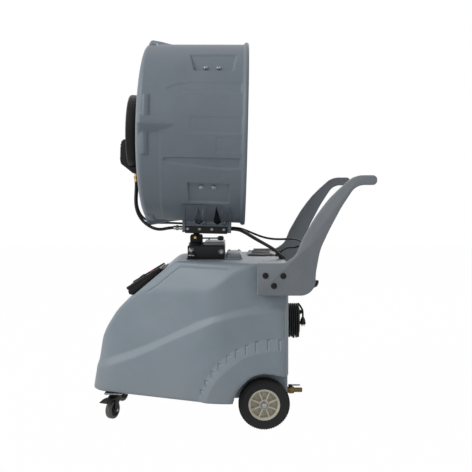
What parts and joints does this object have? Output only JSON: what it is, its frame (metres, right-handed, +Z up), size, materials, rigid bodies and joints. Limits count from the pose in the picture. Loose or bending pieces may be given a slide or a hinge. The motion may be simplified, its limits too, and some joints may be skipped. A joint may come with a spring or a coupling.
{
  "type": "mobile misting fan",
  "caption": "Wheeled water-tank cart with a tilting ducted drum fan, spinning mist disc, sloped control box, swept push handles and casters.",
  "frame": {"origin": "centre of the footprint of the whole object, on the floor under the wheels", "axes": "+Z up; -X is the front, where the mist leaves, and +X points to the handles; +Y is across the machine"},
  "size_m": [1.1301, 0.753, 1.5764],
  "materials": {
    "tank": "satin",
    "control_body": "satin",
    "drum": "satin",
    "handle": "satin",
    "lid": "matte",
    "panel": "satin",
    "black_steel": "satin",
    "grey_plate": "matte",
    "bright_steel": "satin",
    "brass": "polished",
    "nickel": "satin",
    "bush_plastic": "matte",
    "rim": "satin",
    "tyre": "matte",
    "caster_tread": "matte",
    "black_plastic": "satin",
    "motor": "satin",
    "fan": "satin",
    "valve": "satin",
    "hose": "matte"
  },
  "bodies": {
    "base": {"tank_shell": "tank", "lid_pin": "bright_steel", "service_hatch": "tank", "pedestal_box": "black_steel", "pedestal_cover": "grey_plate", "pan_bush": "bush_plastic", "base_bolts": "bright_steel", "control_housing": "control_body", "control_panel": "panel", "rear_axle": "bright_steel", "axle_clamps": "bright_steel", "axle_nuts": "bright_steel", "caster_plates": "bright_steel", "handle_near": "handle", "handle_far": "handle", "water_pump": "black_plastic", "hose_glands": "black_plastic", "cord_hooks": "black_plastic", "power_gland": "black_plastic", "drain_valve": "valve", "rear_hose_a": "hose", "rear_hose_b": "hose", "loop_cable": "hose", "cord_hank": "hose", "power_plug": "black_plastic"},
    "lid": {"filler_lid": "lid"},
    "wheel_near": {"wheel_rim_near": "rim", "tyre_near": "tyre"},
    "wheel_far": {"wheel_rim_far": "rim", "tyre_far": "tyre"},
    "caster_near": {"caster_fork_near": "bright_steel", "caster_axle_near": "bright_steel"},
    "caster_far": {"caster_fork_far": "bright_steel", "caster_axle_far": "bright_steel"},
    "caster_wheel_near": {"caster_wheel_near": "caster_tread"},
    "caster_wheel_far": {"caster_wheel_far": "caster_tread"},
    "brake_near": {"caster_brake_near": "black_plastic"},
    "brake_far": {"caster_brake_far": "black_plastic"},
    "neck": {"neck_post": "bright_steel", "tilt_bolt": "brass"},
    "clamp_lever": {"clamp_lever": "black_plastic"},
    "lock_plunger": {"lock_plunger": "bright_steel"},
    "head": {"saddle_frame": "black_steel", "saddle_bolts": "bright_steel", "fan_drum": "drum", "front_guard": "black_steel", "rear_guard": "black_steel", "motor_bracket": "black_steel", "fan_motor": "motor", "mist_housing": "black_plastic", "brass_elbow": "brass", "hose_coupling": "nickel", "mist_hose": "hose", "mist_cable": "hose"},
    "impeller": {"fan_impeller": "fan"},
    "mist_disc": {"mist_disc": "fan"},
    "speed_knob": {"speed_knob": "black_plastic"},
    "mist_knob": {"mist_knob": "black_plastic"},
    "power_switch": {"power_switch": "black_plastic"},
    "drain_lever": {"drain_lever": "black_plastic"}
  },
  "joints": [
    {"name": "pan", "type": "hinge", "parent": "base", "child": "neck", "pos_m": [-0.135, 0, 0.715], "axis": [0, 0, 1], "range_deg": [-40, 40], "deforming": ["rear_hose_a", "rear_hose_b", "loop_cable"]},
    {"name": "tilt", "type": "hinge", "parent": "neck", "child": "head", "pos_m": [-0.135, 0, 0.7455], "axis": [0, 1, 0], "range_deg": [-12, 12], "deforming": ["rear_hose_a", "rear_hose_b", "loop_cable"]},
    {"name": "fan_spin", "type": "hinge", "parent": "head", "child": "impeller", "pos_m": [-0.17523, 0, 1.17652], "axis": [0.9997, 0, -0.0227], "continuous": true},
    {"name": "mist_spin", "type": "hinge", "parent": "head", "child": "mist_disc", "pos_m": [-0.42017, 0, 1.18208], "axis": [0.9997, 0, -0.0227], "continuous": true},
    {"name": "clamp_turn", "type": "hinge", "parent": "neck", "child": "clamp_lever", "pos_m": [-0.135, -0.095, 0.7455], "axis": [0, 1, 0], "range_deg": [-12, 0]},
    {"name": "lock_pull", "type": "slide", "parent": "base", "child": "lock_plunger", "axis": [0, -1, 0], "range_m": [0, 0.008], "stiffness_N_per_m": 400},
    {"name": "wheel_near_spin", "type": "hinge", "parent": "base", "child": "wheel_near", "pos_m": [0.1437, -0.275, 0.1016], "axis": [0, 1, 0], "continuous": true},
    {"name": "wheel_far_spin", "type": "hinge", "parent": "base", "child": "wheel_far", "pos_m": [0.1437, 0.275, 0.1016], "axis": [0, 1, 0], "continuous": true},
    {"name": "caster_near_swivel", "type": "hinge", "parent": "base", "child": "caster_near", "pos_m": [-0.47, -0.129, 0.05], "axis": [0, 0, 1], "continuous": true},
    {"name": "caster_near_spin", "type": "hinge", "parent": "caster_near", "child": "caster_wheel_near", "pos_m": [-0.47592, -0.14169, 0.0375], "axis": [0.9063, -0.4226, 0], "continuous": true},
    {"name": "brake_near_press", "type": "hinge", "parent": "caster_near", "child": "brake_near", "pos_m": [-0.47592, -0.14169, 0.0805], "axis": [0.9063, -0.4226, 0], "range_deg": [0, 7]},
    {"name": "caster_far_swivel", "type": "hinge", "parent": "base", "child": "caster_far", "pos_m": [-0.47, 0.129, 0.05], "axis": [0, 0, 1], "continuous": true},
    {"name": "caster_far_spin", "type": "hinge", "parent": "caster_far", "child": "caster_wheel_far", "pos_m": [-0.47592, 0.11631, 0.0375], "axis": [0.9063, -0.4226, 0], "continuous": true},
    {"name": "brake_far_press", "type": "hinge", "parent": "caster_far", "child": "brake_far", "pos_m": [-0.47592, 0.11631, 0.0805], "axis": [0.9063, -0.4226, 0], "range_deg": [0, 7]},
    {"name": "lid_hinge", "type": "hinge", "parent": "base", "child": "lid", "pos_m": [0.142, 0.202, 0.663], "axis": [-1, 0, 0], "range_deg": [0, 100]},
    {"name": "drain_turn", "type": "hinge", "parent": "base", "child": "drain_lever", "pos_m": [0.254, -0.18, 0.15], "axis": [0, 0, 1], "range_deg": [0, 90]},
    {"name": "speed_knob_turn", "type": "hinge", "parent": "base", "child": "speed_knob", "pos_m": [-0.3719, -0.045, 0.569], "axis": [-0.5161, 0, 0.8565], "range_deg": [0, 270]},
    {"name": "mist_knob_turn", "type": "hinge", "parent": "base", "child": "mist_knob", "pos_m": [-0.3719, 0.045, 0.569], "axis": [-0.5161, 0, 0.8565], "range_deg": [0, 270]},
    {"name": "power_switch_turn", "type": "hinge", "parent": "base", "child": "power_switch", "pos_m": [-0.32565, 0, 0.59687], "axis": [-0.5161, 0, 0.8565], "range_deg": [0, 90]}
  ]
}
